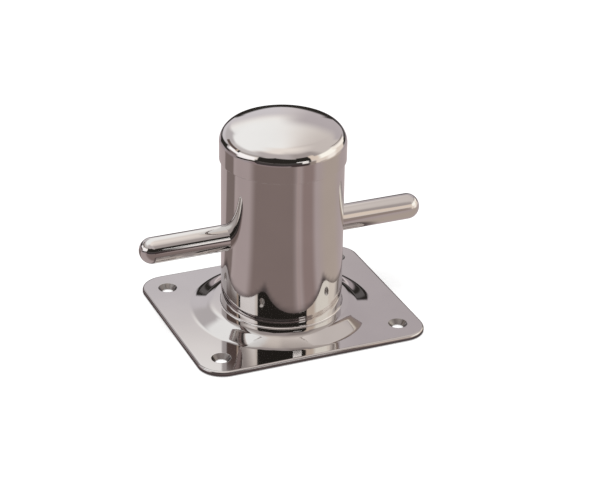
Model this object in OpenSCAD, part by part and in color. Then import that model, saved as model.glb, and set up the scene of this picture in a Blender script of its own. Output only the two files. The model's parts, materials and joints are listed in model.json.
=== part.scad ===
// Deck mooring bollard: a capped steel post with a cross bar, welded into a pressed base plate.
// Millimetres. The deck is z = 0, the post stands on the Z axis and the cross bar runs along X.

/* [Post] */
// Outside diameter of the post tube
post_d = 76.1; // [60:0.1:90]
// Wall thickness of the post tube
post_wall = 2; // [1.5:0.1:4]
// Height of the finished bollard, from the deck to the crown of the cap
height = 132; // [110:1:180]

/* [Cap] */
// Height of the cap, from its rim to its crown
cap_h = 26; // [22:0.5:36]
// Thickness of the sheet that the cap is pressed from
cap_wall = 1.1; // [0.8:0.1:2]
// Radius of the cap's rounded shoulder, outside
shoulder_r = 11; // [6:0.5:14]
// Radius of the sphere that the crown is a part of, outside
crown_r = 113; // [80:1:200]
// Radius worn onto the outer edge of the cap's rim by polishing
rim_round = 0.4; // [0.2:0.1:0.6]
// Radial clearance between the cap and the tube
cap_fit = 0.05; // [0.02:0.01:0.2]

/* [Cross bar] */
// Diameter of the cross bar
bar_d = 16.5; // [12:0.5:20]
// Length of the cross bar over its round ends
bar_l = 187; // [150:1:220]
// Height of the bar's axis above the deck
bar_z = 58; // [45:1:70]
// Clearance on the diameter where the bar passes through the tube
bar_fit = 0.1; // [0.05:0.05:0.3]

/* [Base plate] */
// Length of the plate, along the cross bar
plate_l = 149; // [145:1:180]
// Width of the plate
plate_w = 131; // [128:1:170]
// Thickness of the plate
plate_t = 3; // [2.5:0.1:4]
// Radius of the plate's corners, seen from above
corner_r = 16; // [10:1:20]
// Radius along the plate's upper edge
edge_r = 1.6; // [1:0.1:2]

/* [Raised dish] */
// Height that the dish rises above the flat of the plate
dish_rise = 4.6; // [4.2:0.1:5.2]
// Width of the level shelf between the post and the slope
shelf_w = 4.4; // [4:0.1:5]
// Radius of the bend between shelf and slope, on top
shelf_bend_r = 13; // [11:0.5:14]
// Angle of the slope where it is steepest, just under that bend
steepest = 25; // [24:0.5:30]
// Angle that the slope has eased to where the bend at its foot begins
foot_angle = 18; // [14:0.5:20]
// Radius of the bend at the foot of the slope, on top
foot_bend_r = 10; // [8:0.5:11]
// Radial clearance between the tube and the opening in the dish
socket_fit = 0.05; // [0.02:0.01:0.2]

/* [Screw holes] */
// Diameter of the four screw holes, for M6 countersunk screws
hole_d = 7; // [6.4:0.1:8]
// Diameter of the countersink at the top face
sink_d = 12; // [11:0.1:13]
// Full angle of the countersink
sink_angle = 90; // [90:1:100]
// Distance from a hole's centre to the short edge of the plate
hole_inset_x = 15.5; // [14:0.5:18]
// Distance from a hole's centre to the long edge of the plate
hole_inset_y = 17.5; // [15:0.5:19]

/* [Welds] */
// Radius of the polished bead around the foot of the post
foot_bead_r = 1; // [0.8:0.1:2]
// Thickness of that bead at its two toes
bead_toe = 0.15; // [0.1:0.05:0.3]
// Leg of the plain bead on the hidden side of the dish
under_leg = 1.6; // [1:0.1:2]
// Length of tube left standing below the dish for that bead
tube_stand = 2; // [1.8:0.1:2.4]

/* [Hidden] */
$fn = 128;

post_r = post_d / 2;
dish_top_z = plate_t + dish_rise;
dish_under_z = dish_top_z - plate_t;
shelf_r = post_r + shelf_w;
// The slope is a hollow flank between two bends, each tangent to the next. The flank's radius is what
// makes up the height that the two bends leave
shelf_bend_drop = shelf_bend_r * (1 - cos(steepest));
foot_bend_drop = foot_bend_r * (1 - cos(foot_angle));
flank_r = (dish_rise - shelf_bend_drop - foot_bend_drop) / (cos(foot_angle) - cos(steepest));
shelf_bend_centre = [shelf_r, dish_top_z - shelf_bend_r];
flank_centre = shelf_bend_centre + (shelf_bend_r + flank_r) * [sin(steepest), cos(steepest)];
foot_bend_centre = flank_centre - (flank_r - foot_bend_r) * [sin(foot_angle), cos(foot_angle)];
dish_r = foot_bend_centre[0];
// Each bend is drawn in this many short steps, and starts one step on from where the last one ended
bend_steps = 8;
flank_step = (steepest - foot_angle) / (bend_steps + 1);
foot_step = foot_angle / (bend_steps + 1);

cap_r = post_r + cap_fit + cap_wall;
rim_z = height - cap_h;
crown_centre_z = height - crown_r;
shoulder_x = cap_r - shoulder_r;
// The shoulder touches the crown from inside, which settles how high its centre lies
shoulder_z = crown_centre_z + sqrt(pow(crown_r - shoulder_r, 2) - pow(shoulder_x, 2));
// The tube stops where the inside of the shoulder has closed in to the tube's own radius
seat_rise = sqrt(pow(shoulder_r - cap_wall, 2) - pow(post_r - shoulder_x, 2));
tube_top_z = shoulder_z + seat_rise - cap_fit;
tube_foot_z = dish_under_z - tube_stand;

hole_x = plate_l / 2 - hole_inset_x;
hole_y = plate_w / 2 - hole_inset_y;
sink_depth = (sink_d - hole_d) / 2 / tan(sink_angle / 2);

// Cuts run on past the face that they open, so that they leave no skin
past = 1;

// Outline of the plate, drawn in by a distance from its full size
module plate_outline(inset) {
    inner_l = plate_l - 2 * corner_r;
    inner_w = plate_w - 2 * corner_r;
    union() {
        square([plate_l - 2 * inset, inner_w], center = true);
        square([inner_l, plate_w - 2 * inset], center = true);
        for (side_x = [-1, 1], side_y = [-1, 1])
            translate([side_x * inner_l / 2, side_y * inner_w / 2])
                circle(r = corner_r - inset);
    }
}

// Section of the rounded upper edge: a quarter disc with its centre at the origin
module edge_section() {
    intersection() {
        circle(r = edge_r);
        square(edge_r);
    }
}

// The rounded upper edge all round the plate: four straight runs and four corners
module rounded_edge() {
    run_x = plate_l - 2 * corner_r;
    run_y = plate_w - 2 * corner_r;
    for (turn = [0, 180])
        rotate([0, 0, turn]) {
            translate([plate_l / 2 - edge_r, run_y / 2, 0])
                rotate([90, 0, 0])
                    linear_extrude(height = run_y)
                        edge_section();
            translate([-run_x / 2, plate_w / 2 - edge_r, 0])
                rotate([90, 0, 90])
                    linear_extrude(height = run_x)
                        edge_section();
            translate([run_x / 2, run_y / 2, 0])
                corner_edge(0);
            translate([-run_x / 2, run_y / 2, 0])
                corner_edge(90);
        }
}

// The rounded upper edge of one corner
module corner_edge(start) {
    rotate([0, 0, start])
        rotate_extrude(angle = 90)
            translate([corner_r - edge_r, 0])
                edge_section();
}

// Points along one bend, from one angle off the vertical to another. The radius is negative where the
// bend is hollow and lies under its centre
function bend_points(centre, radius, first_angle, last_angle) = [
    for (step = [0:bend_steps])
        let (angle = first_angle + (last_angle - first_angle) * step / bend_steps)
            centre + radius * [sin(angle), cos(angle)]
];

// The dish's face from the shelf out to the flat: its top at 0, its hidden side when lowered by the sheet
function dish_line(lowered) = concat(
    bend_points(shelf_bend_centre, shelf_bend_r - lowered, 0, steepest),
    bend_points(flank_centre, -flank_r - lowered, steepest - flank_step, foot_angle),
    bend_points(foot_bend_centre, -foot_bend_r - lowered, foot_angle - foot_step, 0)
);

// Half section of the pressed sheet from its round opening out to the flat, of even thickness
module dish_section() {
    under = dish_line(plate_t);
    polygon(concat(
        [[post_r + socket_fit, dish_top_z]],
        dish_line(0),
        [for (i = [len(under) - 1:-1:0]) under[i]],
        [[post_r + socket_fit, dish_under_z]]
    ));
}

// One screw hole with its countersink
module screw_hole() {
    translate([0, 0, -past])
        cylinder(h = plate_t + 2 * past, d = hole_d);
    translate([0, 0, plate_t - sink_depth])
        cylinder(h = sink_depth, d1 = hole_d, d2 = sink_d);
    translate([0, 0, plate_t])
        cylinder(h = past, d = sink_d);
}

// Pressed base plate with its raised dish and four countersunk holes
module base_plate() {
    color([0.77, 0.76, 0.78])
        difference() {
            union() {
                difference() {
                    union() {
                        linear_extrude(height = plate_t - edge_r)
                            plate_outline(0);
                        linear_extrude(height = plate_t)
                            plate_outline(edge_r);
                        translate([0, 0, plate_t - edge_r])
                            rounded_edge();
                    }
                    translate([0, 0, -past])
                        cylinder(h = plate_t + 2 * past, r = dish_r);
                }
                rotate_extrude()
                    dish_section();
            }
            for (side_x = [-1, 1], side_y = [-1, 1])
                translate([side_x * hole_x, side_y * hole_y, 0])
                    screw_hole();
        }
}

// Post tube, drilled right through for the cross bar
module post_tube() {
    color([0.66, 0.64, 0.64])
        difference() {
            translate([0, 0, tube_foot_z])
                cylinder(h = tube_top_z - tube_foot_z, r = post_r);
            translate([0, 0, tube_foot_z - past])
                cylinder(h = tube_top_z - tube_foot_z + 2 * past, r = post_r - post_wall);
            translate([-post_r - past, 0, bar_z])
                rotate([0, 90, 0])
                    cylinder(h = 2 * (post_r + past), d = bar_d + bar_fit);
        }
}

// Polished bead that blends the foot of the post into the dish
module foot_weld() {
    leg = foot_bead_r + bead_toe;
    color([0.7, 0.69, 0.7])
        rotate_extrude()
            translate([post_r, dish_top_z])
                difference() {
                    square(leg);
                    translate([leg, leg])
                        circle(r = foot_bead_r);
                }
}

// Plain bead between the end of the tube and the hidden side of the dish
module under_weld() {
    color([0.58, 0.57, 0.58])
        rotate_extrude()
            polygon([
                [post_r, dish_under_z],
                [post_r + under_leg, dish_under_z],
                [post_r, dish_under_z - under_leg]
            ]);
}

// Solid cross bar with ball ends
module cross_bar() {
    bar_r = bar_d / 2;
    straight = bar_l / 2 - bar_r;
    color([0.72, 0.7, 0.69])
        translate([0, 0, bar_z])
            rotate([0, 90, 0])
                rotate_extrude()
                    intersection() {
                        union() {
                            translate([0, -straight])
                                square([bar_r, 2 * straight]);
                            for (side = [-1, 1])
                                translate([0, side * straight])
                                    circle(r = bar_r);
                        }
                        translate([0, -bar_l / 2])
                            square([bar_r, bar_l]);
                    }
}

// Half section under the cap's outer face, or under its inner face when drawn in by the wall
module cap_section(inset) {
    lean = atan2(shoulder_x, shoulder_z - crown_centre_z);
    union() {
        translate([0, rim_z])
            square([cap_r - inset, shoulder_z - rim_z]);
        intersection() {
            translate([shoulder_x, shoulder_z])
                circle(r = shoulder_r - inset);
            translate([shoulder_x, shoulder_z])
                square(shoulder_r);
        }
        intersection() {
            translate([0, crown_centre_z])
                circle(r = crown_r - inset);
            translate([0, crown_centre_z])
                polygon([[0, 0], [0, 2 * crown_r], [2 * crown_r * tan(lean), 2 * crown_r]]);
            translate([0, shoulder_z])
                square([cap_r, crown_r]);
        }
    }
}

// Pressed cap with a straight skirt over the tube, a round shoulder and a shallow crown
module cap() {
    color([0.85, 0.84, 0.84])
        rotate_extrude()
            difference() {
                cap_section(0);
                cap_section(cap_wall);
                translate([cap_r - rim_round, rim_z])
                    difference() {
                        translate([0, -past])
                            square([rim_round + past, rim_round + past]);
                        translate([0, rim_round])
                            circle(r = rim_round);
                    }
            }
}

base_plate();
post_tube();
foot_weld();
under_weld();
cross_bar();
cap();
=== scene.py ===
"""Deck mooring bollard in polished stainless steel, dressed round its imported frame. Metres."""
import json
from math import asin, cos, degrees, hypot, pi, radians, sin, sqrt, tan

import bmesh
import bpy
import numpy as np
from mathutils import Matrix, Vector


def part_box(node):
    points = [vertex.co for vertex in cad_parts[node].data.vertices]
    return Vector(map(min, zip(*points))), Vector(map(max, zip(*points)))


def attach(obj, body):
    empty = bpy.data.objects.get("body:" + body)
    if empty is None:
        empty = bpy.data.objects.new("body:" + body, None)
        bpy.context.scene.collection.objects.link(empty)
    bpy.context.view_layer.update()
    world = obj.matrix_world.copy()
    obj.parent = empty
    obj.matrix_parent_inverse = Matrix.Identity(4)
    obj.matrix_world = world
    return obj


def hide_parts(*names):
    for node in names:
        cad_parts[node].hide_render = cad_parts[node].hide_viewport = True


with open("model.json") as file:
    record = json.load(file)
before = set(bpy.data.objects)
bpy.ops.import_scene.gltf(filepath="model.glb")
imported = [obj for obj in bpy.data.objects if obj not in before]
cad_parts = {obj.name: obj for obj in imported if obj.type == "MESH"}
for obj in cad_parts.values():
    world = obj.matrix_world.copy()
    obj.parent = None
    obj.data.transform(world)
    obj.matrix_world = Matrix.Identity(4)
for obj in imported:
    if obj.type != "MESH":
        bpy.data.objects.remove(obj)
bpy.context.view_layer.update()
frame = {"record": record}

# Base plate. One sheet of 3 mm stainless steel, pressed up into a round dish under the post, with its
# corners cut round, its upper edge rolled off by polishing and four holes countersunk for M6 screws.
MM = 0.001
plate_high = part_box("base_plate")[1]
screws = next(m for m in frame["record"]["mounts"] if m["name"] == "deck_screws")
sheet_t = 3 * MM
corner_r = 16 * MM
edge_r = 1.6 * MM
lower_edge_r = 0.2 * MM
shelf_w = 4.4 * MM
shelf_bend_r = 13 * MM
foot_bend_r = 10 * MM
# The slope of the dish in degrees, where it leaves the shelf and where it meets the foot
steepest, foot_angle = 25, 18
sink_r = 6 * MM
burr_r = 0.25 * MM
# A narrow flat margin beside each bend keeps the mirror of the flat sheet true
margin = 0.4 * MM
# Pieces that are pushed together are drawn this far apart, so that no two faces coincide
fit_gap = 0.05 * MM
# Steps in a quarter turn of a large round and of a small one, and in a bend, a sharp edge and the shelf
round_steps = 64
small_round_steps = 16
bend_steps = 16
sharp_steps = 4
shelf_steps = 6


def add_node(tree, kind, inputs=None, **settings):
    """One node of a tree. An input is either a plain value or the output socket that feeds it."""
    node = tree.nodes.new(kind)
    for name, value in settings.items():
        setattr(node, name, value)
    for socket, value in (inputs or {}).items():
        if isinstance(value, bpy.types.NodeSocket):
            tree.links.new(value, node.inputs[socket])
        else:
            node.inputs[socket].default_value = value
    return node


def maths(tree, operation, first, second=0.0):
    """The output of one Math node."""
    return add_node(tree, "ShaderNodeMath", {0: first, 1: second}, operation=operation).outputs[0]


def new_tree(name, sockets):
    """An empty geometry tree with its named inputs, and its group input and output nodes."""
    tree = bpy.data.node_groups.new(name, "GeometryNodeTree")
    tree.interface.new_socket("Geometry", in_out="INPUT", socket_type="NodeSocketGeometry")
    for label, kind in sockets.items():
        tree.interface.new_socket(label, in_out="INPUT", socket_type=kind)
    tree.interface.new_socket("Geometry", in_out="OUTPUT", socket_type="NodeSocketGeometry")
    return tree, tree.nodes.new("NodeGroupInput"), tree.nodes.new("NodeGroupOutput")


def finish_tree(tree, source, target, geometry):
    """Ends a tree: instances made real and the piece's material set."""
    real = add_node(tree, "GeometryNodeRealizeInstances", {"Geometry": geometry})
    painted = add_node(tree, "GeometryNodeSetMaterial",
                       {"Geometry": real.outputs[0], "Material": source.outputs["Material"]})
    tree.links.new(painted.outputs[0], target.inputs[0])


def turning_tree():
    """Turns a half section (x is the radius, z the height) round the Z axis, as on a lathe.

    With a run along X or Y the turned form is parted into quarters and drawn out to a rounded rectangle."""
    tree, source, target = new_tree("turned_form", {
        "Steps per Quarter": "NodeSocketInt", "Run Along X": "NodeSocketFloat",
        "Run Along Y": "NodeSocketFloat", "Material": "NodeSocketMaterial"})
    steps = source.outputs["Steps per Quarter"]
    points = add_node(tree, "GeometryNodeAttributeDomainSize", {"Geometry": source.outputs[0]}).outputs[0]
    rows = maths(tree, "ADD", steps, 1.0)
    columns = maths(tree, "ADD", maths(tree, "MULTIPLY", rows, 4.0), 1.0)
    grid = add_node(tree, "GeometryNodeMeshGrid", {"Vertices X": columns, "Vertices Y": points})
    index = add_node(tree, "GeometryNodeInputIndex").outputs[0]
    column = maths(tree, "FLOOR", maths(tree, "DIVIDE", maths(tree, "ADD", index, 0.5), points))
    row = maths(tree, "SUBTRACT", index, maths(tree, "MULTIPLY", column, points))
    quarter = maths(tree, "FLOOR", maths(tree, "DIVIDE", maths(tree, "ADD", column, 0.5), rows))
    step = maths(tree, "SUBTRACT", column, maths(tree, "MULTIPLY", quarter, rows))
    turn = maths(tree, "ADD", quarter, maths(tree, "DIVIDE", step, steps))
    angle = maths(tree, "MULTIPLY", turn, pi / 2)
    corner = maths(tree, "MULTIPLY", maths(tree, "ADD", quarter, 0.5), pi / 2)
    section = add_node(tree, "GeometryNodeSampleIndex", {
        "Geometry": source.outputs[0], "Value": add_node(tree, "GeometryNodeInputPosition").outputs[0],
        "Index": row}, data_type="FLOAT_VECTOR")
    half = add_node(tree, "ShaderNodeSeparateXYZ", {0: section.outputs[0]})
    place = add_node(tree, "ShaderNodeCombineXYZ", {"Z": half.outputs["Z"]})
    for axis, wave, run in (("X", "COSINE", "Run Along X"), ("Y", "SINE", "Run Along Y")):
        turned = maths(tree, "MULTIPLY", half.outputs["X"], maths(tree, wave, angle))
        side = maths(tree, "SIGN", maths(tree, wave, corner))
        drawn = maths(tree, "MULTIPLY", side, maths(tree, "MULTIPLY", source.outputs[run], 0.5))
        tree.links.new(maths(tree, "ADD", turned, drawn), place.inputs[axis])
    moved = add_node(tree, "GeometryNodeSetPosition",
                     {"Geometry": grid.outputs[0], "Position": place.outputs[0]})
    joined = add_node(tree, "GeometryNodeMergeByDistance", {"Geometry": moved.outputs[0], "Distance": 1e-6})
    finish_tree(tree, source, target, joined.outputs[0])
    return tree


def arc(centre, radius, start, end, steps):
    """Points of a round stretch of a section, from one angle to another in degrees."""
    turns = [radians(start + (end - start) * i / steps) for i in range(steps + 1)]
    return [(centre[0] + radius * cos(a), centre[1] + radius * sin(a)) for a in turns]


def section_mesh(name, points):
    """A half section as a chain of edges in the XZ plane."""
    mesh = bpy.data.meshes.new(name)
    mesh.from_pydata([(x, 0, z) for x, z in points], [(i, i + 1) for i in range(len(points) - 1)], [])
    return mesh


def grow(name, mesh, tree, **inputs):
    """Runs a geometry tree on a mesh and returns the plain mesh that it makes."""
    seed = bpy.data.objects.new(name, mesh)
    bpy.context.collection.objects.link(seed)
    modifier = seed.modifiers.new("grow", "NODES")
    modifier.node_group = tree
    for item in tree.interface.items_tree:
        if item.in_out == "INPUT" and item.name.replace(" ", "_") in inputs:
            modifier[item.identifier] = inputs[item.name.replace(" ", "_")]
    depsgraph = bpy.context.evaluated_depsgraph_get()
    grown = bpy.data.meshes.new_from_object(seed.evaluated_get(depsgraph))
    bpy.data.objects.remove(seed)
    return grown


def finished(name, mesh):
    """Closes a mesh's seams, points its faces outwards and makes it a piece that rides on the part."""
    form = bmesh.new()
    form.from_mesh(mesh)
    bmesh.ops.remove_doubles(form, verts=form.verts, dist=2e-6)
    bmesh.ops.dissolve_degenerate(form, edges=form.edges, dist=1e-7)
    bmesh.ops.recalc_face_normals(form, faces=form.faces)
    form.to_mesh(mesh)
    form.free()
    mesh.shade_smooth()
    mesh.set_sharp_from_angle(angle=radians(35))
    mesh.name = name
    piece = bpy.data.objects.new(name, mesh)
    bpy.context.collection.objects.link(piece)
    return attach(piece, "root")


def steel(name, tint, roughness, grain, wave=0.0):
    """Polished stainless steel. grain is how fine the polishing lines are along X, Y and Z."""
    material = bpy.data.materials.new(name)
    material.use_nodes = True
    tree = material.node_tree
    shader = tree.nodes["Principled BSDF"]
    shader.inputs["Metallic"].default_value = 1.0
    where = add_node(tree, "ShaderNodeTexCoord").outputs["Object"]
    lines = add_node(tree, "ShaderNodeTexNoise", {
        "Vector": add_node(tree, "ShaderNodeMapping", {"Vector": where, "Scale": grain}).outputs[0],
        "Scale": 1.0, "Detail": 4.0, "Roughness": 0.6})
    smudge = add_node(tree, "ShaderNodeTexNoise", {"Vector": where, "Scale": 38.0, "Detail": 5.0})
    tone = add_node(tree, "ShaderNodeMapRange", {
        "Value": smudge.outputs[0], "From Min": 0.35, "From Max": 0.7, "To Min": 0.0, "To Max": 1.0})
    smudged = [0.96 * c for c in tint]
    colour = add_node(tree, "ShaderNodeMix", {
        "Factor": tone.outputs[0], "A": (*tint, 1), "B": (*smudged, 1)}, data_type="RGBA")
    tree.links.new(colour.outputs["Result"], shader.inputs["Base Color"])
    gloss = add_node(tree, "ShaderNodeMapRange", {
        "Value": lines.outputs[0], "From Min": 0.3, "From Max": 0.75,
        "To Min": 0.75 * roughness, "To Max": 1.4 * roughness})
    tree.links.new(gloss.outputs[0], shader.inputs["Roughness"])
    swell = add_node(tree, "ShaderNodeTexNoise", {"Vector": where, "Scale": 22.0, "Detail": 1.0})
    soft = add_node(tree, "ShaderNodeBump", {
        "Height": swell.outputs[0], "Strength": 1.0, "Distance": wave})
    fine = add_node(tree, "ShaderNodeBump", {
        "Height": lines.outputs[0], "Strength": 1.0, "Distance": 0.25e-6, "Normal": soft.outputs[0]})
    tree.links.new(fine.outputs[0], shader.inputs["Normal"])
    return material


def flat_tree():
    """Fills the flat of the sheet in between the open edges of its bends, top and bottom.

    The countersink is repeated at the four screw places first, so that its rims are open edges too."""
    tree, source, target = new_tree("pressed_sheet", {
        "Countersink": "NodeSocketObject", "Spacing X": "NodeSocketFloat", "Spacing Y": "NodeSocketFloat",
        "Sheet Thickness": "NodeSocketFloat", "Material": "NodeSocketMaterial"})
    places = add_node(tree, "GeometryNodeMeshGrid", {
        "Size X": source.outputs["Spacing X"], "Size Y": source.outputs["Spacing Y"],
        "Vertices X": 2, "Vertices Y": 2})
    sink = add_node(tree, "GeometryNodeObjectInfo", {"Object": source.outputs["Countersink"]})
    sinks = add_node(tree, "GeometryNodeInstanceOnPoints", {
        "Points": places.outputs[0], "Instance": sink.outputs["Geometry"]})
    bends = add_node(tree, "GeometryNodeJoinGeometry")
    real_sinks = add_node(tree, "GeometryNodeRealizeInstances", {"Geometry": sinks.outputs[0]})
    for part in (source, real_sinks):
        tree.links.new(part.outputs[0], bends.inputs[0])
    whole = add_node(tree, "GeometryNodeJoinGeometry")
    tree.links.new(bends.outputs[0], whole.inputs[0])
    faces = add_node(tree, "GeometryNodeInputMeshEdgeNeighbors").outputs[0]
    open_edge = add_node(tree, "ShaderNodeMath", {0: faces, 1: 1.0, 2: 0.1}, operation="COMPARE").outputs[0]
    height = add_node(tree, "ShaderNodeSeparateXYZ",
                      {0: add_node(tree, "GeometryNodeInputPosition").outputs[0]}).outputs["Z"]
    middle = maths(tree, "MULTIPLY", source.outputs["Sheet Thickness"], 0.5)
    upper = maths(tree, "GREATER_THAN", height, middle)
    for chosen, lift in ((maths(tree, "MULTIPLY", open_edge, upper), source.outputs["Sheet Thickness"]),
                         (maths(tree, "MULTIPLY", open_edge, maths(tree, "SUBTRACT", 1.0, upper)), 0.0)):
        rims = add_node(tree, "GeometryNodeMeshToCurve", {"Mesh": bends.outputs[0], "Selection": chosen})
        flat = add_node(tree, "GeometryNodeFillCurve", {"Curve": rims.outputs[0]})
        rise = add_node(tree, "ShaderNodeCombineXYZ", {"Z": lift})
        laid = add_node(tree, "GeometryNodeTransform",
                        {"Geometry": flat.outputs[0], "Translation": rise.outputs[0]})
        tree.links.new(laid.outputs[0], whole.inputs[0])
    finish_tree(tree, source, target, whole.outputs[0])
    return tree


turned = turning_tree()
# The plate's steel is painted a little darker than the same steel on the other pieces: painted shade for the
# plate's darker reflections
plate_steel = steel("plate_steel", (0.64, 0.615, 0.605), 0.05, (300, 40, 300), wave=12e-6)

post_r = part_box("post_tube")[1].x
dish_top_z = plate_high.z
dish_rise = dish_top_z - sheet_t
shelf_r = post_r + shelf_w
# The slope's hollow flank makes up what height the bends at the shelf and at the foot leave
shelf_bend_rise = shelf_bend_r * (1 - cos(radians(steepest)))
foot_bend_rise = foot_bend_r * (1 - cos(radians(foot_angle)))
flank_r = ((dish_rise - shelf_bend_rise - foot_bend_rise)
           / (cos(radians(foot_angle)) - cos(radians(steepest))))
shelf_bend = (shelf_r, dish_top_z - shelf_bend_r)
flank = (shelf_bend[0] + (shelf_bend_r + flank_r) * sin(radians(steepest)),
         shelf_bend[1] + (shelf_bend_r + flank_r) * cos(radians(steepest)))
foot_bend = (flank[0] - (flank_r - foot_bend_r) * sin(radians(foot_angle)),
             flank[1] - (flank_r - foot_bend_r) * cos(radians(foot_angle)))
dish_r = foot_bend[0]
opening_r = post_r + fit_gap
dish_section = [
    (dish_r + margin, 0),
    *arc(foot_bend, foot_bend_r + sheet_t, -90, -90 - foot_angle, bend_steps),
    *arc(flank, flank_r + sheet_t, -90 - foot_angle, -90 - steepest, bend_steps)[1:],
    *arc(shelf_bend, shelf_bend_r - sheet_t, 90 - steepest, 90, bend_steps)[1:],
    (opening_r, dish_rise),
    (opening_r, dish_top_z),
    *[(opening_r + shelf_w * i / shelf_steps, dish_top_z) for i in range(1, shelf_steps)],
    *arc(shelf_bend, shelf_bend_r, 90, 90 - steepest, bend_steps),
    *arc(flank, flank_r, -90 - steepest, -90 - foot_angle, bend_steps)[1:],
    *arc(foot_bend, foot_bend_r, -90 - foot_angle, -90, bend_steps)[1:],
    (dish_r + margin, sheet_t),
]
edge_section = [
    (corner_r - lower_edge_r - margin, 0),
    *arc((corner_r - lower_edge_r, lower_edge_r), lower_edge_r, -90, 0, sharp_steps),
    *arc((corner_r - edge_r, sheet_t - edge_r), edge_r, 0, 90, bend_steps),
    (corner_r - edge_r - margin, sheet_t),
]
hole_r = screws["dims"]["hole_r_mm"] * MM
spacing_x = screws["dims"]["spacing_x_mm"] * MM
spacing_y = screws["dims"]["spacing_y_mm"] * MM
# The countersinks are cut at 45 degrees
sink_depth = sink_r - hole_r
sink_section = [
    (hole_r + burr_r + margin, 0),
    *arc((hole_r + burr_r, burr_r), burr_r, -90, -180, sharp_steps),
    (hole_r, sheet_t - sink_depth),
    *arc((sink_r + burr_r * tan(pi / 8), sheet_t - burr_r), burr_r, 135, 90, sharp_steps),
    (sink_r + burr_r + margin, sheet_t),
]
sink_object = bpy.data.objects.new("countersink", grow(
    "countersink", section_mesh("countersink", sink_section), turned,
    Steps_per_Quarter=small_round_steps, Material=plate_steel))
bends_mesh = bmesh.new()
for label, points, steps, run_x, run_y in (
        ("dish", dish_section, round_steps, 0.0, 0.0),
        ("edge", edge_section, small_round_steps,
         2 * (plate_high.x - corner_r), 2 * (plate_high.y - corner_r))):
    bends_mesh.from_mesh(grow(label, section_mesh(label, points), turned, Steps_per_Quarter=steps,
                              Run_Along_X=run_x, Run_Along_Y=run_y, Material=plate_steel))
plate_bends = bpy.data.meshes.new("plate_bends")
bends_mesh.to_mesh(plate_bends)
bends_mesh.free()
base_plate = finished("base_plate_sheet", grow(
    "plate", plate_bends, flat_tree(), Countersink=sink_object,
    Spacing_X=spacing_x, Spacing_Y=spacing_y, Sheet_Thickness=sheet_t, Material=plate_steel))
bpy.data.objects.remove(sink_object)
# The countersinks were cut after the polishing: their cones are rougher and keep the cutter's fine rings, and
# their steel is painted darker, as painted shade in these recesses
cut_steel = steel("cut_steel", (0.30, 0.28, 0.27), 0.20, (900, 900, 2400), wave=2e-6)
base_plate.data.materials.append(cut_steel)
shaded_cut_slot = len(base_plate.data.materials) - 1
# A face that looks up more squarely than this is part of the polished flat
flat_normal_z = 0.98
for face in base_plate.data.polygons:
    off_x = abs(face.center.x) - spacing_x / 2
    off_y = abs(face.center.y) - spacing_y / 2
    if hypot(off_x, off_y) < sink_r + 0.5 * burr_r and face.normal.z < flat_normal_z:
        face.material_index = shaded_cut_slot
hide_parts("base_plate")

# Post. A length of 76 mm stainless tube with 2 mm walls, polished round and round, and drilled right
# through for the cross bar. It stands in the round opening of the dish and is welded there.
post_low, post_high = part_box("post_tube")
wall = 2 * MM
bar_low, bar_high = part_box("cross_bar")
bar_z = (bar_low.z + bar_high.z) / 2
bore_r = (bar_high.z - bar_low.z) / 2 + fit_gap
post_steel = steel("post_steel", (0.70, 0.675, 0.66), 0.05, (14, 14, 900), wave=4e-6)
around = 4 * round_steps
step_w = 2 * pi * post_r / around
# Round each bore the wall's squares are pushed outwards. The innermost ring of them, this many steps
# from the bore's middle, lies on the drilled circle, and the outermost is where it would be anyway.
block, patch = 8, 16
plain_rows = 12


def steps_beside(column):
    """How many steps a column is from the middle of the nearer bore, to one side or the other."""
    return (column + around // 4) % (around // 2) - around // 4


def steps_out(column, row):
    """How many steps a place is from the middle of the nearer bore, counted in square rings."""
    return max(abs(steps_beside(column)), abs(row - plain_rows - patch))


def drilled_wall(radius):
    """Places of one face of the tube's wall, by column and row, each on the true cylinder."""
    near = [bar_z + step_w * i for i in range(-patch, patch + 1)]
    below = [post_low.z + (near[0] - post_low.z) * i / plain_rows for i in range(plain_rows)]
    above = [near[-1] + (post_high.z - near[-1]) * i / plain_rows for i in range(1, plain_rows + 1)]
    rows = below + near + above
    places = {}
    for column in range(around):
        beside = steps_beside(column)
        for row, z in enumerate(rows):
            ring = steps_out(column, row)
            if ring < block:
                continue
            y, dz = radius * sin(2 * pi * beside / around), z - bar_z
            if ring < patch:
                share = (ring - block) / (patch - block)
                widen = share + (1 - share) * bore_r / hypot(y, dz)
                y, dz = y * widen, dz * widen
            x = sqrt(radius ** 2 - y ** 2)
            facing = 1 if (column + around // 4) % around < around // 2 else -1
            places[column, row] = (facing * x, facing * y, bar_z + dz)
    return places, len(rows)


post_form = bmesh.new()
skins = []
for radius in (post_r, post_r - wall):
    places, row_count = drilled_wall(radius)
    skins.append({spot: post_form.verts.new(place) for spot, place in places.items()})
for skin in skins:
    for column in range(around):
        for row in range(row_count - 1):
            corners = [(column, row), ((column + 1) % around, row),
                       ((column + 1) % around, row + 1), (column, row + 1)]
            in_bore = all(steps_out(*spot) <= block for spot in corners)
            if not in_bore and all(spot in skin for spot in corners):
                post_form.faces.new([skin[spot] for spot in corners])
twin = {skins[0][spot]: skins[1][spot] for spot in skins[0]}
for edge in [e for e in post_form.edges if e.is_boundary and e.verts[0] in twin]:
    a, b = edge.verts
    post_form.faces.new([a, b, twin[b], twin[a]])
post_mesh = bpy.data.meshes.new("post_wall")
post_form.to_mesh(post_mesh)
post_form.free()
post_mesh.materials.append(post_steel)
post = finished("post_wall", post_mesh)
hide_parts("post_tube")

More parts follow.
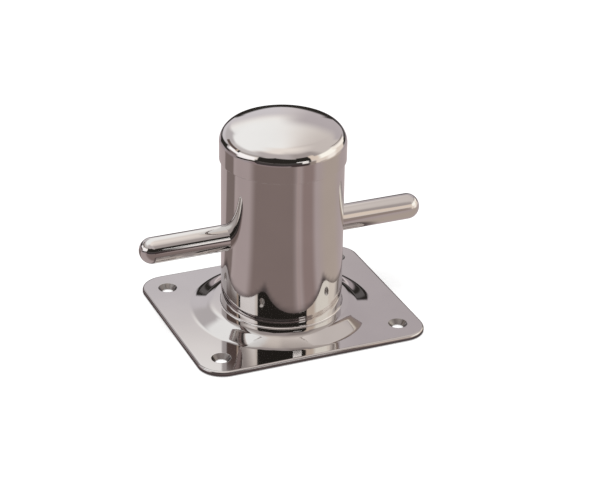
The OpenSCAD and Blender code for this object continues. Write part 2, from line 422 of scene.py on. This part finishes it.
# Foot bead. The weld that joins post and dish, ground to an even hollow and polished with the rest,
# so that only a soft fillet shows where the two meet.
bead_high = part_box("foot_weld")[1]
leg = bead_high.x - post_r
toe = 0.15 * MM
foot_steel = steel("foot_bead_steel", (0.70, 0.675, 0.66), 0.05, (80, 80, 80), wave=10e-6)
foot_section = [
    (post_r, dish_top_z), (post_r + leg, dish_top_z), (post_r + leg, dish_top_z + toe),
    *arc((post_r + leg, dish_top_z + leg), leg - toe, -90, -180, bend_steps)[1:],
    (post_r, dish_top_z + leg), (post_r, dish_top_z),
]
foot_bead = finished("foot_bead", grow(
    "foot", section_mesh("foot", foot_section), turned, Steps_per_Quarter=round_steps, Material=foot_steel))
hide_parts("foot_weld")

# Hidden bead. A plain weld left as it was laid, in overlapping ripples, between the end of the tube
# and the hidden side of the dish. The polish never reaches it, so it stays dull and a little darker.
under_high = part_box("under_weld")[1]
under_leg = under_high.x - post_r
weld_steel = steel("plain_weld_steel", (0.50, 0.47, 0.46), 0.28, (120, 120, 120), wave=30e-6)


def ripple_tree():
    """Lays a bead's ripples: each swells from its leading edge, and the next one overlaps its tail."""
    tree, source, target = new_tree("weld_ripples", {
        "Ripples": "NodeSocketInt", "Ripple Depth": "NodeSocketFloat", "Seam Radius": "NodeSocketFloat",
        "Seam Height": "NodeSocketFloat", "Material": "NodeSocketMaterial"})
    spot = add_node(tree, "ShaderNodeSeparateXYZ",
                    {0: add_node(tree, "GeometryNodeInputPosition").outputs[0]})
    x, y, z = (spot.outputs[axis] for axis in "XYZ")
    squares = maths(tree, "ADD", maths(tree, "MULTIPLY", x, x), maths(tree, "MULTIPLY", y, y))
    radius = maths(tree, "SQRT", squares)
    out = maths(tree, "SUBTRACT", radius, source.outputs["Seam Radius"])
    down = maths(tree, "SUBTRACT", source.outputs["Seam Height"], z)
    # A ripple is a crescent, because its middle runs ahead of its two toes, and its crest leans forward
    crescent, lean = 4e5, 0.6
    ahead = maths(tree, "MULTIPLY", maths(tree, "MULTIPLY", out, down), crescent)
    turn = maths(tree, "DIVIDE", maths(tree, "ARCTAN2", y, x), 2 * pi)
    ripple = maths(tree, "MULTIPLY", turn, source.outputs["Ripples"])
    phase = maths(tree, "FRACT", maths(tree, "ADD", ripple, ahead))
    swell = maths(tree, "SINE", maths(tree, "MULTIPLY", maths(tree, "POWER", phase, lean), pi))
    keep = maths(tree, "SUBTRACT", 1.0, maths(tree, "MULTIPLY", swell, source.outputs["Ripple Depth"]))
    kept_out = maths(tree, "MULTIPLY", out, keep)
    ratio = maths(tree, "DIVIDE", maths(tree, "ADD", source.outputs["Seam Radius"], kept_out), radius)
    place = add_node(tree, "ShaderNodeCombineXYZ", {
        "X": maths(tree, "MULTIPLY", x, ratio), "Y": maths(tree, "MULTIPLY", y, ratio),
        "Z": maths(tree, "SUBTRACT", source.outputs["Seam Height"], maths(tree, "MULTIPLY", down, keep))})
    moved = add_node(tree, "GeometryNodeSetPosition",
                     {"Geometry": source.outputs[0], "Position": place.outputs[0]})
    finish_tree(tree, source, target, moved.outputs[0])
    return tree


under_z = under_high.z
bead_steps = 10
ring_steps = 120
under_section = [
    (post_r, under_z),
    *arc((post_r, under_z), under_leg, 0, -90, bead_steps),
    (post_r, under_z),
]
under_ring = grow("under", section_mesh("under", under_section), turned,
                  Steps_per_Quarter=ring_steps, Material=weld_steel)
under_bead = finished("under_bead", grow(
    "ripples", under_ring, ripple_tree(), Ripples=64, Ripple_Depth=0.22, Seam_Radius=post_r,
    Seam_Height=under_z, Material=weld_steel))
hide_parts("under_weld")

# Cross bar. A solid round bar with ball ends, polished, pressed through the two holes in the post. It
# keeps a rope's turns down on the post and gives it horns to be made fast to.
bar_r = (bar_high.z - bar_low.z) / 2
ball_x = bar_high.x - bar_r
ball_steps = 24
rod_steps = 40
bar_steel = steel("bar_steel", (0.70, 0.675, 0.66), 0.05, (900, 14, 14), wave=3e-6)
bar_section = [
    *arc((0, ball_x), bar_r, 90, 0, ball_steps),
    *[(bar_r, ball_x * (1 - 2 * i / rod_steps)) for i in range(1, rod_steps)],
    *arc((0, -ball_x), bar_r, 0, -90, ball_steps),
]
bar_mesh = grow("bar", section_mesh("bar", bar_section), turned,
                Steps_per_Quarter=ball_steps, Material=bar_steel)
bar_mesh.transform(Matrix.Translation((0, 0, bar_z)) @ Matrix.Rotation(pi / 2, 4, "Y"))
cross_bar = finished("cross_bar_rod", bar_mesh)
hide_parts("cross_bar")

# Cap. Pressed from 1.1 mm sheet into a shallow crown with a round shoulder and a straight skirt, and
# pressed over the top of the tube. Its rim shows as one fine step round the post.
cap_low, cap_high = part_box("cap")
cap_wall = 1.1 * MM
shoulder_r = 11 * MM
crown_r = 113 * MM
rim_r = 0.4 * MM
cap_r = cap_high.x
crown_z = cap_high.z - crown_r
shoulder_x = cap_r - shoulder_r
shoulder_z = crown_z + sqrt((crown_r - shoulder_r) ** 2 - shoulder_x ** 2)
crown_turn = degrees(asin(shoulder_x / (crown_r - shoulder_r)))
cap_steel = steel("cap_steel", (0.70, 0.675, 0.66), 0.05, (60, 60, 900), wave=2e-6)
crown_steps, shoulder_steps, skirt_steps, rim_steps = 40, 64, 12, 8
inner_crown_steps, inner_shoulder_steps = 20, 24
skirt_h = shoulder_z - cap_low.z - rim_r
cap_section = [
    *arc((0, crown_z), crown_r, 90, 90 - crown_turn, crown_steps),
    *arc((shoulder_x, shoulder_z), shoulder_r, 90 - crown_turn, 0, shoulder_steps)[1:],
    *[(cap_r, shoulder_z - skirt_h * i / skirt_steps) for i in range(1, skirt_steps)],
    *arc((cap_r - rim_r, cap_low.z + rim_r), rim_r, 0, -90, rim_steps),
    (cap_r - cap_wall, cap_low.z),
    *arc((shoulder_x, shoulder_z), shoulder_r - cap_wall, 0, 90 - crown_turn, inner_shoulder_steps),
    *arc((0, crown_z), crown_r - cap_wall, 90 - crown_turn, 90, inner_crown_steps)[1:],
]
cap = finished("cap_shell", grow(
    "cap", section_mesh("cap", cap_section), turned, Steps_per_Quarter=round_steps, Material=cap_steel))
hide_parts("cap")

# Studio. A pale floor that runs out to white all round, in a pale room, with one wide soft lamp above
# that the mirrors don't show.
studio = bpy.context.scene
studio.view_settings.view_transform = "Standard"
soft_level = 0.55
floor_reach = 6.0
floor_z = -0.5 * MM
# The floor's own glow near the bollard, and far out where the lamp no longer reaches it, and the two
# distances between which it grows
near_glow, far_glow = 0.35, 0.62
glow_start, glow_end = 0.4, 1.8
lamp_place = Vector((-0.2, -0.3, 1.6))


def seen_directly(tree):
    """1 for what the camera sees straight, mirrored in metal or through glass, and 0 for soft light."""
    rays = add_node(tree, "ShaderNodeLightPath")
    mirrored = maths(tree, "ADD", rays.outputs["Is Camera Ray"], rays.outputs["Is Glossy Ray"])
    seen = maths(tree, "ADD", mirrored, rays.outputs["Is Transmission Ray"])
    return maths(tree, "MINIMUM", seen, 1.0)


world = bpy.data.worlds.new("pale_room")
world.use_nodes = True
world.cycles.sampling_method = "NONE"
studio.world = world
room = world.node_tree
strength = maths(room, "ADD", maths(room, "MULTIPLY", seen_directly(room), 1.0 - soft_level), soft_level)
room.links.new(strength, room.nodes["Background"].inputs["Strength"])
room.nodes["Background"].inputs["Color"].default_value = (1, 1, 1, 1)

floor_paint = bpy.data.materials.new("pale_floor")
floor_paint.use_nodes = True
floor_nodes = floor_paint.node_tree
floor_shader = floor_nodes.nodes["Principled BSDF"]
for socket, value in (("Base Color", (0.86, 0.86, 0.86, 1)), ("Roughness", 0.9),
                      ("Specular IOR Level", 0.0), ("Emission Color", (1, 1, 1, 1))):
    floor_shader.inputs[socket].default_value = value
floor_place = add_node(floor_nodes, "ShaderNodeTexCoord").outputs["Object"]
floor_distance = add_node(floor_nodes, "ShaderNodeVectorMath", {0: floor_place}, operation="LENGTH")
floor_glow = add_node(floor_nodes, "ShaderNodeMapRange", {
    "Value": floor_distance.outputs["Value"], "From Min": glow_start, "From Max": glow_end,
    "To Min": near_glow, "To Max": far_glow})
floor_nodes.links.new(maths(floor_nodes, "MULTIPLY", seen_directly(floor_nodes), floor_glow.outputs[0]),
                      floor_shader.inputs["Emission Strength"])
floor_mesh = bpy.data.meshes.new("floor")
floor_corners = [(x * floor_reach, y * floor_reach, floor_z) for x, y in ((-1, -1), (1, -1), (1, 1), (-1, 1))]
floor_mesh.from_pydata(floor_corners, [], [(0, 1, 2, 3)])
floor_mesh.materials.append(floor_paint)
floor = bpy.data.objects.new("floor", floor_mesh)
studio.collection.objects.link(floor)

lamp = bpy.data.lights.new("soft_top", "AREA")
lamp.shape = "DISK"
lamp.size = 1.2
lamp.energy = 14
lamp_object = bpy.data.objects.new("soft_top", lamp)
lamp_object.location = lamp_place
lamp_object.rotation_euler = lamp_place.to_track_quat("Z", "Y").to_euler()
lamp_object.visible_glossy = False
studio.collection.objects.link(lamp_object)

# Light tent. Polished steel has no look of its own: it mirrors what stands round it. So the bollard stands in
# a small round tent of cloth and boards on a dark table, which only its mirrors see. The tent only glows: the
# light and shade of its cloth, windows and table are painted into its colours sheet by sheet, each over the
# ones before it, as painted reflections for the mirrors.
camera_azimuth, camera_elevation = radians(-23.32), radians(27.02)
tent_r = 500 * MM
tent_wall_h = 640 * MM
tent_top_z = 900 * MM
tent_steps = 720
ground_rings, wall_rings, top_rings = 80, 240, 40
# Its ground lies a little below the deck, so that it doesn't coincide with the underside of the plate
ground_drop = 0.3 * MM
# Elevations are seen from here, inside the cap
eye_z = 125 * MM
pale_cloth = (1.10, 1.03, 0.97)
black = (0.03, 0.027, 0.024)
# Each sheet's azimuths from the camera's side round to the right, its elevations, the softness of its
# sides and of its top and bottom, how many degrees it climbs with each degree to the right, and its
# colour. A colour may pass 1 where light shines through. From -95 up takes in all that lies below.
sheets = {
    "left and back cloth": ((-188, -64), (21, 76), (42, 22), 0, (1.17, 1.19, 1.19)),
    "right cloth": ((0, 168), (-4, 70), (30, 32), 0, (0.78, 0.72, 0.69)),
    "front cloth": ((-64, 30), (26, 60), (30, 16), 0, (0.62, 0.57, 0.57)),
    "right cloth, shade": ((18, 72), (20, 56), (20, 16), 0, (0.48, 0.43, 0.42)),
    "back cloth, low": ((-184, -92), (-8, 20), (16, 12), 0, (0.77, 0.74, 0.77)),
    "right back cloth": ((128, 178), (-12, 31), (12, 14), 0, (0.61, 0.56, 0.58)),
    "left shade, upper": ((-136, -50), (18, 37), (20, 14), 0.2, (0.72, 0.69, 0.69)),
    "left shade, behind": ((-154, -112), (12, 33), (14, 8), 0, (0.64, 0.61, 0.62)),
    "left shade": ((-114, -36), (15, 25), (12, 8), 0.25, (0.5, 0.46, 0.45)),
    "table": ((-180, 180), (-95, -9), (0, 2), 0, (0.46, 0.4, 0.42)),
    "table, front": ((-56, 24), (-95, 0), (14, 5), 0, (0.35, 0.27, 0.28)),
    "table, right front": ((10, 46), (-18, 0), (10, 5), 0, (0.51, 0.43, 0.44)),
    "table, near the bollard": ((-50, 42), (-95, -17), (16, 6), 0, (0.29, 0.23, 0.23)),
    "table, back": ((-201, -156), (-95, -15), (10, 4), 0, (0.9, 0.88, 0.91)),
    "left window": ((-106, -48), (5, 15), (6, 4), 0.12, (1.33, 1.32, 1.33)),
    "left window, lower half": ((-104, -48), (2, 9), (6, 4), 0, (1.33, 1.32, 1.33)),
    "left window, foot": ((-86, -57), (-5.5, 4), (6, 3), 0.05, (1.28, 1.25, 1.28)),
    "left window, dark head": ((-124, -88), (13, 22), (3, 3), 0, (0.15, 0.11, 0.10)),
    "left window, tan frame": ((-90, -85.5), (10, 22), (1, 3), 0, (0.62, 0.50, 0.42)),
    "left window, black frame": ((-85.5, -81), (10, 22), (1, 3), 0, black),
    "right window, outer": ((57, 66), (-14, 23), (3, 7), 0, (0.96, 0.83, 0.72)),
    "right window, curtain": ((47, 58), (4, 32), (3, 10), 0, (0.96, 0.83, 0.72)),
    "table beside the opening": ((46, 58), (-22, 0), (3, 5), 0, (0.38, 0.31, 0.28)),
    "right window, lower": ((60, 130), (-12, 9), (14, 9), 0, (1.01, 0.9, 0.8)),
    "right window, bright middle": ((81, 101), (-20, 10), (12, 9), 0, (1.26, 1.19, 1.11)),
    "right window": ((66, 104), (3, 23), (10, 7), 0, (1.39, 1.37, 1.27)),
    "right window, far half": ((98, 139), (3, 14), (6, 5), -0.42, (1.28, 1.21, 1.11)),
    "right window, dark rim": ((104, 142), (16, 19), (8, 3), -0.5, (0.31, 0.27, 0.24)),
    # The right window's light is painted on the table below it
    "right window's light on the table": ((66, 118), (-95, -14), (18, 8), 0, (0.68, 0.58, 0.49)),
    "dark gap": ((-232, -98), (-10, -2), (6, 3), 0, black),
    "dark gap, left peak": ((-182, -166), (-13, 4), (2, 3), 0.9, black),
    "dark gap, left peak, far side": ((-168, -153), (-12, 4), (2, 3), -0.9, black),
    "dark gap, long peak": ((-140, -111), (-9, 3), (3, 4), 0.35, black),
    "dark gap, brown end": ((-102, -82), (-10, 0.5), (8, 4), 0, (0.24, 0.19, 0.19)),
    "dark gap, rising to the opening": ((-86, -42), (-10, -3.2), (4, 3), 0.25, black),
    "dark gap, right": ((134, 186), (-8, 1), (5, 3), 0, black),
    "dark gap, right peak": ((151, 169), (-6, 5), (2, 3), 0.8, black),
    "dark gap, right peak, far side": ((167, 182), (-6, 5), (2, 3), -0.8, black),
    "grey inside the gap, right": ((140, 172), (-5.5, -1), (5, 2), 0, (0.14, 0.13, 0.13)),
    "grey inside the gap, left": ((-172, -142), (-7, -3), (5, 2), 0, (0.14, 0.13, 0.13)),
    "dark strip": ((-112, -84), (-60, -9), (6, 3), 0, (0.37, 0.31, 0.32)),
    "camera opening, left half": ((-43, -12), (0.5, 28), (3, 5), 0, black),
    "camera opening, left crest": ((-43, -12), (16, 28), (3, 5), 0.42, black),
    "camera opening, right half": ((-15, 48), (0.5, 20), (3, 5), 0, black),
    "camera opening, right crest": ((-15, 48), (6, 27), (3, 5), -0.22, black),
    "camera opening, left side": ((-47, -40), (-10, 8), (4, 5), 0, black),
    "camera opening, right side": ((40, 48), (0.5, 20), (3, 5), 0, (0.037, 0.028, 0.029)),
    "camera opening, right corner": ((24, 47), (8, 30), (4, 3), 0, black),
    "dark gap under the opening": ((-44, 46), (-14, 1), (3, 2), 0, (0.07, 0.06, 0.06)),
    "white card under the opening": ((33, 44), (-6, 8), (3, 2), 0, (1.12, 1.09, 1.07)),
    "dark edge of the table": ((14, 46), (-24, -6), (6, 3), 0, (0.07, 0.05, 0.05)),
}
# What lies on the tent's ground: its azimuths, the softness of its sides and its colour
ground = {
    "table": ((-180, 180), 0, (0.52, 0.44, 0.44)),
    "table, back": ((158, 202), 14, (0.88, 0.80, 0.79)),
    "table, left": ((-84, -48), 8, (0.50, 0.42, 0.42)),
    "table, front": ((-52, 24), 16, (0.27, 0.21, 0.20)),
    "light from the lamp": ((25, 30), 4, (0.47, 0.38, 0.37)),
    "table, right front": ((33, 56), 12, (0.34, 0.26, 0.25)),
    "light from the right window": ((72, 112), 24, (0.54, 0.46, 0.41)),
    "dark strip": ((-118, -92), 5, (0.25, 0.20, 0.19)),
}
ground_reach, ground_soft = 360 * MM, 80 * MM
# The plate's shadow round it, and the lighter ground under its hidden side
shadow_w, shadow_soft, shadow_colour = 7 * MM, 10 * MM, (0.10, 0.08, 0.08)
hidden_inset, hidden_soft, hidden_colour = 10 * MM, 10 * MM, (0.62, 0.58, 0.56)


def standing_at(azimuth, reach):
    """X and Y of what stands at an azimuth from the camera's side, so far from the post's axis."""
    turn = np.radians(azimuth) + camera_azimuth - pi / 2
    return reach * np.cos(turn), reach * np.sin(turn)


def fade(value, low, high, soft):
    """1 between two limits and 0 beyond them, passing smoothly over a soft edge."""
    share = np.minimum(value - low, high - value) / max(soft, 1e-6) + 0.5
    share = np.clip(share, 0, 1)
    return share * share * (3 - 2 * share)


def round_from(azimuth, middle):
    """Degrees round from a middle to an azimuth, the shorter way."""
    return (azimuth - middle + 180) % 360 - 180


def between(azimuth, start, stop, soft):
    """1 between two azimuths and 0 beyond them, or 1 all round where they are a full turn apart."""
    if stop - start >= 360:
        return np.ones_like(azimuth)
    away = np.abs(round_from(azimuth, (start + stop) / 2))
    return fade(away, -np.inf, (stop - start) / 2, soft)


def lay(paint, share, colour):
    """Lays a colour over what is painted so far, as thickly as share says."""
    paint += share[..., None] * (np.array(colour) - paint)


def glowing(name, colour=None):
    """A material that only glows, in one colour or in the colours painted on its mesh."""
    material = bpy.data.materials.new(name)
    material.use_nodes = True
    tree = material.node_tree
    tree.nodes.remove(tree.nodes["Principled BSDF"])
    if colour is None:
        colour = add_node(tree, "ShaderNodeAttribute", attribute_name="glow").outputs["Color"]
    shine = add_node(tree, "ShaderNodeEmission", {"Color": colour})
    tree.links.new(shine.outputs[0], tree.nodes["Material Output"].inputs["Surface"])
    material.cycles.emission_sampling = "NONE"
    return material


def for_mirrors(name, mesh):
    """Stands a mesh in the studio where only the mirrors see it."""
    board = bpy.data.objects.new(name, mesh)
    board.visible_camera = board.visible_diffuse = board.visible_transmission = False
    board.visible_shadow = board.visible_volume_scatter = False
    studio.collection.objects.link(board)
    return board


tent_profile = [(tent_r * i / ground_rings, 0.0) for i in range(ground_rings + 1)]
tent_profile += [(tent_r, tent_wall_h * i / wall_rings) for i in range(1, wall_rings + 1)]
top_turns = [radians(90 * i / top_rings) for i in range(1, top_rings + 1)]
tent_profile += [(tent_r * cos(a), tent_wall_h + (tent_top_z - tent_wall_h) * sin(a)) for a in top_turns]
tent_section = np.array(tent_profile)
azimuth, reach = np.meshgrid(np.arange(tent_steps) * 360 / tent_steps, tent_section[:, 0], indexing="ij")
height = np.broadcast_to(tent_section[:, 1], reach.shape)
tent_x, tent_y = standing_at(azimuth, reach)

paint = np.empty((*reach.shape, 3))
paint[:] = pale_cloth
elevation = np.degrees(np.arctan2(height - eye_z, reach))
for (start, stop), (low, high), (side_soft, edge_soft), slant, colour in sheets.values():
    hung = elevation - slant * round_from(azimuth, (start + stop) / 2)
    lay(paint, between(azimuth, start, stop, side_soft) * fade(hung, low, high, edge_soft), colour)
on_ground = height == 0
near_post = on_ground * fade(reach, -np.inf, ground_reach, ground_soft)
for (start, stop), side_soft, colour in ground.values():
    lay(paint, between(azimuth, start, stop, side_soft) * near_post, colour)
# The plate's own shadow lies close round it, and darkens what its edges and the bar's underside mirror
past_x, past_y = np.abs(tent_x) - plate_high.x, np.abs(tent_y) - plate_high.y
beyond = np.hypot(np.maximum(past_x, 0), np.maximum(past_y, 0))
lay(paint, on_ground * fade(beyond, -np.inf, shadow_w, shadow_soft), shadow_colour)
# Under the plate's middle it is lighter again, so that the hidden side doesn't mirror plain black
within = np.minimum(-past_x, -past_y)
lay(paint, on_ground * fade(within, hidden_inset, np.inf, hidden_soft), hidden_colour)

rows = len(tent_profile)
cells = []
for i in range(tent_steps):
    here, after = i * rows, (i + 1) % tent_steps * rows
    cells += [(here + j, here + j + 1, after + j + 1, after + j) for j in range(rows - 1)]
tent_mesh = bpy.data.meshes.new("tent")
tent_mesh.from_pydata(np.stack([tent_x, tent_y, height - ground_drop], -1).reshape(-1, 3).tolist(), [], cells)
glow = tent_mesh.attributes.new("glow", "FLOAT_COLOR", "POINT")
glow.data.foreach_set("color", np.concatenate([paint, np.ones((*reach.shape, 1))], -1).ravel())
tent_mesh.materials.append(glowing("tent_cloth"))
tent = for_mirrors("tent", tent_mesh)

# Lamp. A bright strip that stands low beside the camera and that only the mirrors see. It is near
# enough that each of them shows it at a different height.
lamp_azimuth, lamp_far, lamp_half_w = 30.5, 250 * MM, 34 * MM
lamp_foot, lamp_head = 140 * MM, 152 * MM
lamp_colour = (1.45, 1.44, 1.43, 1)
lamp_x, lamp_y = standing_at(lamp_azimuth, lamp_far)
lamp_side = Vector((-lamp_y, lamp_x, 0)).normalized() * lamp_half_w
lamp_mesh = bpy.data.meshes.new("lamp_face")
lamp_corners = [Vector((lamp_x, lamp_y, z)) + s * lamp_side
                for s, z in ((-1, lamp_foot), (1, lamp_foot), (1, lamp_head), (-1, lamp_head))]
lamp_mesh.from_pydata(lamp_corners, [], [(0, 1, 2, 3)])
lamp_mesh.materials.append(glowing("lamp_glow", lamp_colour))
lamp_face = for_mirrors("lamp_face", lamp_mesh)

# Camera. It stands where the photograph was taken from, which was worked out from the outlines of the
# plate, its holes, the post, the cap and the bar.
camera_distance = 1309.2 * MM
camera_roll = radians(0.98)
aim_right, aim_up = 12.18 * MM, 49.58 * MM
aim = Vector((aim_right * cos(camera_azimuth), aim_right * sin(camera_azimuth), aim_up))
lens = bpy.data.cameras.new("camera")
lens.sensor_width = 36
lens.lens = 125.43
camera = bpy.data.objects.new("camera", lens)
studio.collection.objects.link(camera)
back = Vector((sin(camera_azimuth) * cos(camera_elevation), -cos(camera_azimuth) * cos(camera_elevation),
               sin(camera_elevation)))
camera.location = aim + back * camera_distance
level = back.to_track_quat("Z", "Y")
camera.rotation_mode = "QUATERNION"
camera.rotation_quaternion = Matrix.Rotation(camera_roll, 3, back).to_quaternion() @ level
studio.camera = camera
